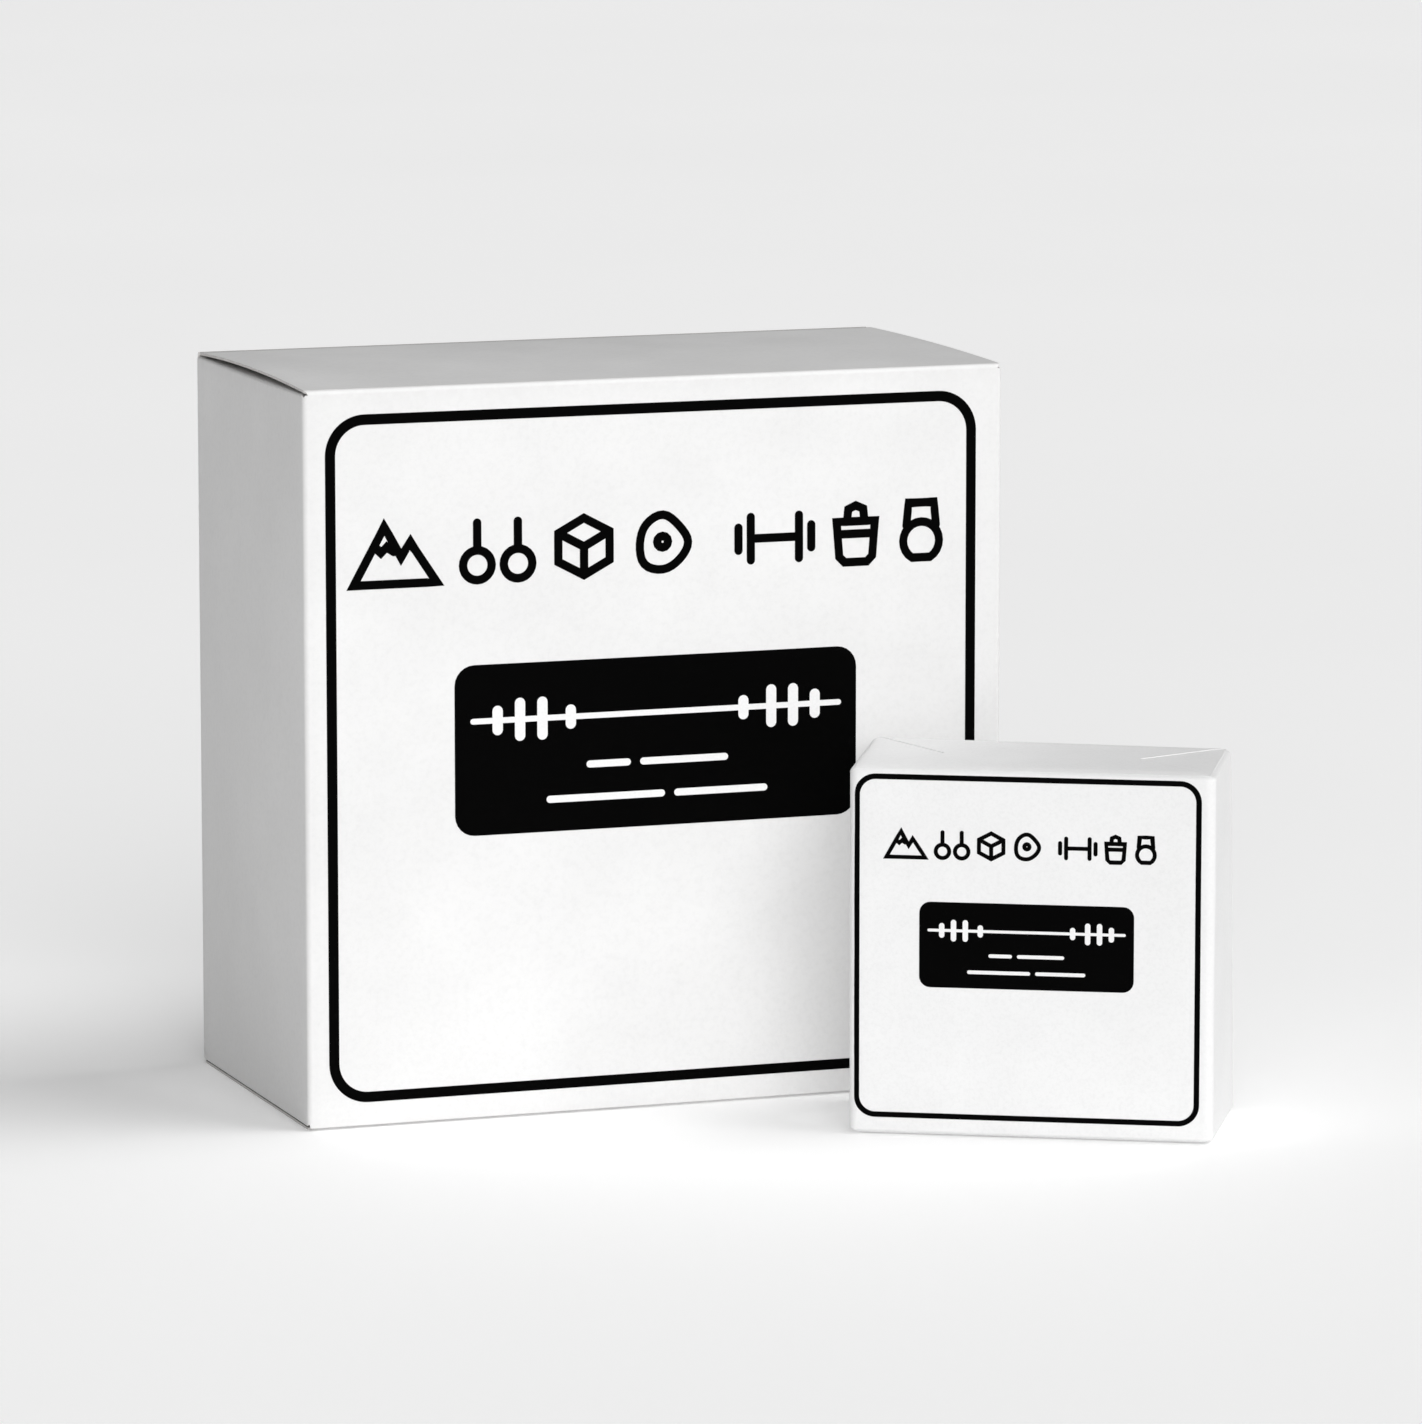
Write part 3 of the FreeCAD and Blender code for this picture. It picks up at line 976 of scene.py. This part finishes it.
def add_heading(mesh, place, low, high, stroke):
    """A row of small gym and climbing pictures, in two groups."""
    (x0, y0), (x1, y1) = low, high
    unit = y1 - y0 - stroke
    names = [name for group in HEADING for name in group]
    used = sum(PICTURES[name][0] for name in names) * unit
    gap = (x1 - x0 - used) / (len(names) - 1 + GROUP_GAP)
    x = x0
    for group in HEADING:
        for name in group:
            width, strokes = PICTURES[name]
            for order, (points, closed) in enumerate(strokes):
                moved = [(x + u * unit, y0 + stroke / 2 + v * unit) for u, v in points]
                ribbon(mesh, place, moved, stroke, INK + order * OVERPRINT, closed=closed)
            x += width * unit + gap
        x += GROUP_GAP * gap


def add_label(mesh, place, low, high, radius):
    """The black label, with a white barbell and two broken rules on it."""
    solid_label(mesh, place, low, high, radius, INK)
    width, height = high[0] - low[0], high[1] - low[1]
    middle = (low[0] + high[0]) / 2
    bar_y = low[1] + BAR_HEIGHT * height
    reach = BAR_REACH * width
    line = LABEL_LINE * height
    lines = [([(middle - reach, bar_y), (middle + reach, bar_y)], 0.8 * line)]
    for side in (-1, 1):
        for inward, plate in PLATES:
            x = middle + side * (reach - inward * width)
            ends = [(x, bar_y - plate * height), (x, bar_y + plate * height)]
            lines.append((ends, 1.5 * line))
    for share, half, cut in RULES:
        y = low[1] + share * height
        left, right = middle - half * width, middle + half * width
        split, gap = middle + cut * width, RULE_GAP * width
        lines.append(([(left, y), (split - gap, y)], line))
        lines.append(([(split + gap, y), (right, y)], line))
    for order, (points, thick) in enumerate(lines):
        lift = INK_ON_INK + (OVERPRINT if order else 0)
        ribbon(mesh, place, points, thick, lift, slot=1)


def in_metres(corners):
    """A rectangle's two corners, turned from millimetres to metres."""
    return [[value * MM for value in place] for place in corners]


def make_print(name, place, layout):
    """Everything printed on one front: a frame, a heading and a label."""
    mesh = bmesh.new()
    line = layout["line"] * MM
    low, high = in_metres(layout["frame"])
    low = [v + line / 2 for v in low]
    high = [v - line / 2 for v in high]
    outline = rounded_rectangle(low, high, layout["frame_radius"] * MM - line / 2)
    ribbon(mesh, place, outline, line, INK, closed=True)
    add_heading(mesh, place, *in_metres(layout["heading"]), layout["stroke"] * MM)
    add_label(mesh, place, *in_metres(layout["label"]), layout["label_radius"] * MM)
    return make_piece(name, mesh, PRINT_MATERIALS)


# Places on a front, in millimetres from its lower left corner.
CARTON_LAYOUT = {
    "frame": ((3.4, 4.0), (109.6, 110.5)),
    "frame_radius": 6.3,
    "line": 1.62,
    "heading": ((7.8, 83.6), (104.0, 93.8)),
    "stroke": 1.35,
    "label": ((23.8, 44.6), (89.6, 71.15)),
    "label_radius": 3.2,
}
BLOCK_LAYOUT = {
    "frame": ((0.85, 2.9), (53.95, 56.2)),
    "frame_radius": 3.3,
    "line": 0.85,
    "heading": ((5.8, 43.1), (47.1, 47.7)),
    "stroke": 0.62,
    "label": ((10.9, 23.35), (43.8, 36.6)),
    "label_radius": 1.7,
}


def make_carton_print():
    """The printing on the carton's front wall."""

    def place(u, v, lift):
        """A point on the front wall, which bows, lifted off the board."""
        share = u / (2 * HALF_WIDTH)
        return Vector((u - HALF_WIDTH, -HALF_DEPTH - wall_bow(share, v) - lift, v))

    piece = make_print("carton_front_print", place, CARTON_LAYOUT)
    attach(piece, "carton")


def make_blocks():
    """All eight wrapped blocks, with their printing."""
    wrappers = sorted(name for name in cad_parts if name.startswith("wrapper_"))
    for number, node in enumerate(wrappers):
        block = Block(node, 11.3 * number + 2.7)
        body = "loose_block" if block.loose else "carton"
        make_wrapper(block, body)
        piece = make_print(f"print_{block.place}", block.front, BLOCK_LAYOUT)
        piece.matrix_world = block.matrix
        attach(piece, body)


def finish_chalk():
    """Powdery chalk on the CAD cores, which the wrappers hide."""
    for name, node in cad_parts.items():
        if name.startswith("chalk_"):
            for material_slot in node.material_slots:
                material_slot.material = CHALK


# ---------------------------------------------------------------- stage

# The floor runs this far each way from the carton, in metres.
FLOOR_REACH = 20


def make_floor():
    """A plain pale floor that runs past the view on all sides."""
    mesh = bmesh.new()
    bmesh.ops.create_grid(mesh, x_segments=8, y_segments=8, size=FLOOR_REACH)
    floor = make_piece("floor", mesh, [])
    material, nodes, links, shader = new_material("pale_floor")
    clouds = noise_node(nodes, links, 3, 2)
    stops = [(0.3, grey(0.9)), (0.7, grey(0.92))]
    colour = ramp_node(nodes, links, clouds.outputs["Fac"], stops)
    links.new(colour.outputs["Color"], shader.inputs["Base Color"])
    shader.inputs["Roughness"].default_value = 0.9
    shader.inputs["Specular IOR Level"].default_value = 0.1
    shader.inputs["Emission Color"].default_value = (1, 1, 1, 1)
    shader.inputs["Emission Strength"].default_value = 0.18
    floor.data.materials.append(material)


def add_sun(name, turn, height, softness, power):
    """A distant light, turned from straight in front towards the right. Angles in degrees."""
    data = bpy.data.lights.new(name, "SUN")
    data.energy = power
    data.angle = math.radians(softness)
    light = bpy.data.objects.new(name, data)
    turn, height = math.radians(turn), math.radians(height)
    level = math.cos(height)
    towards = Vector((math.sin(turn) * level, -math.cos(turn) * level, math.sin(height)))
    light.rotation_euler = towards.to_track_quat("Z", "Y").to_euler()
    bpy.context.scene.collection.objects.link(light)


def make_lights():
    """Broad soft lights from the front, the right and the upper right, and a pale surround."""
    add_sun("front_fill", -12, 26, 50, 2.02)
    add_sun("right_fill", 78, 20, 50, 0.3)
    add_sun("upper_right", 65, 58, 40, 1.45)
    world = bpy.data.worlds.new("studio")
    world.use_nodes = True
    background = world.node_tree.nodes["Background"]
    background.inputs["Color"].default_value = (1, 1, 1, 1)
    background.inputs["Strength"].default_value = 0.02
    bpy.context.scene.world = world
    bpy.context.scene.view_settings.view_transform = "Standard"


def make_camera():
    """A long lens from the front left, a little above the carton."""
    data = bpy.data.cameras.new("camera")
    data.lens = 203.77
    data.sensor_width = 36
    data.clip_end = 100
    camera = bpy.data.objects.new("camera", data)
    camera.location = (-0.40823, -1.19255, 0.25265)
    down, left = math.radians(8.777), math.radians(19.714)
    camera.rotation_euler = (math.pi / 2 - down, 0, -left)
    bpy.context.scene.collection.objects.link(camera)
    bpy.context.scene.camera = camera


make_camera()
make_lights()
make_floor()
make_sleeve()
make_closures()
make_carton_print()
make_blocks()
finish_chalk()
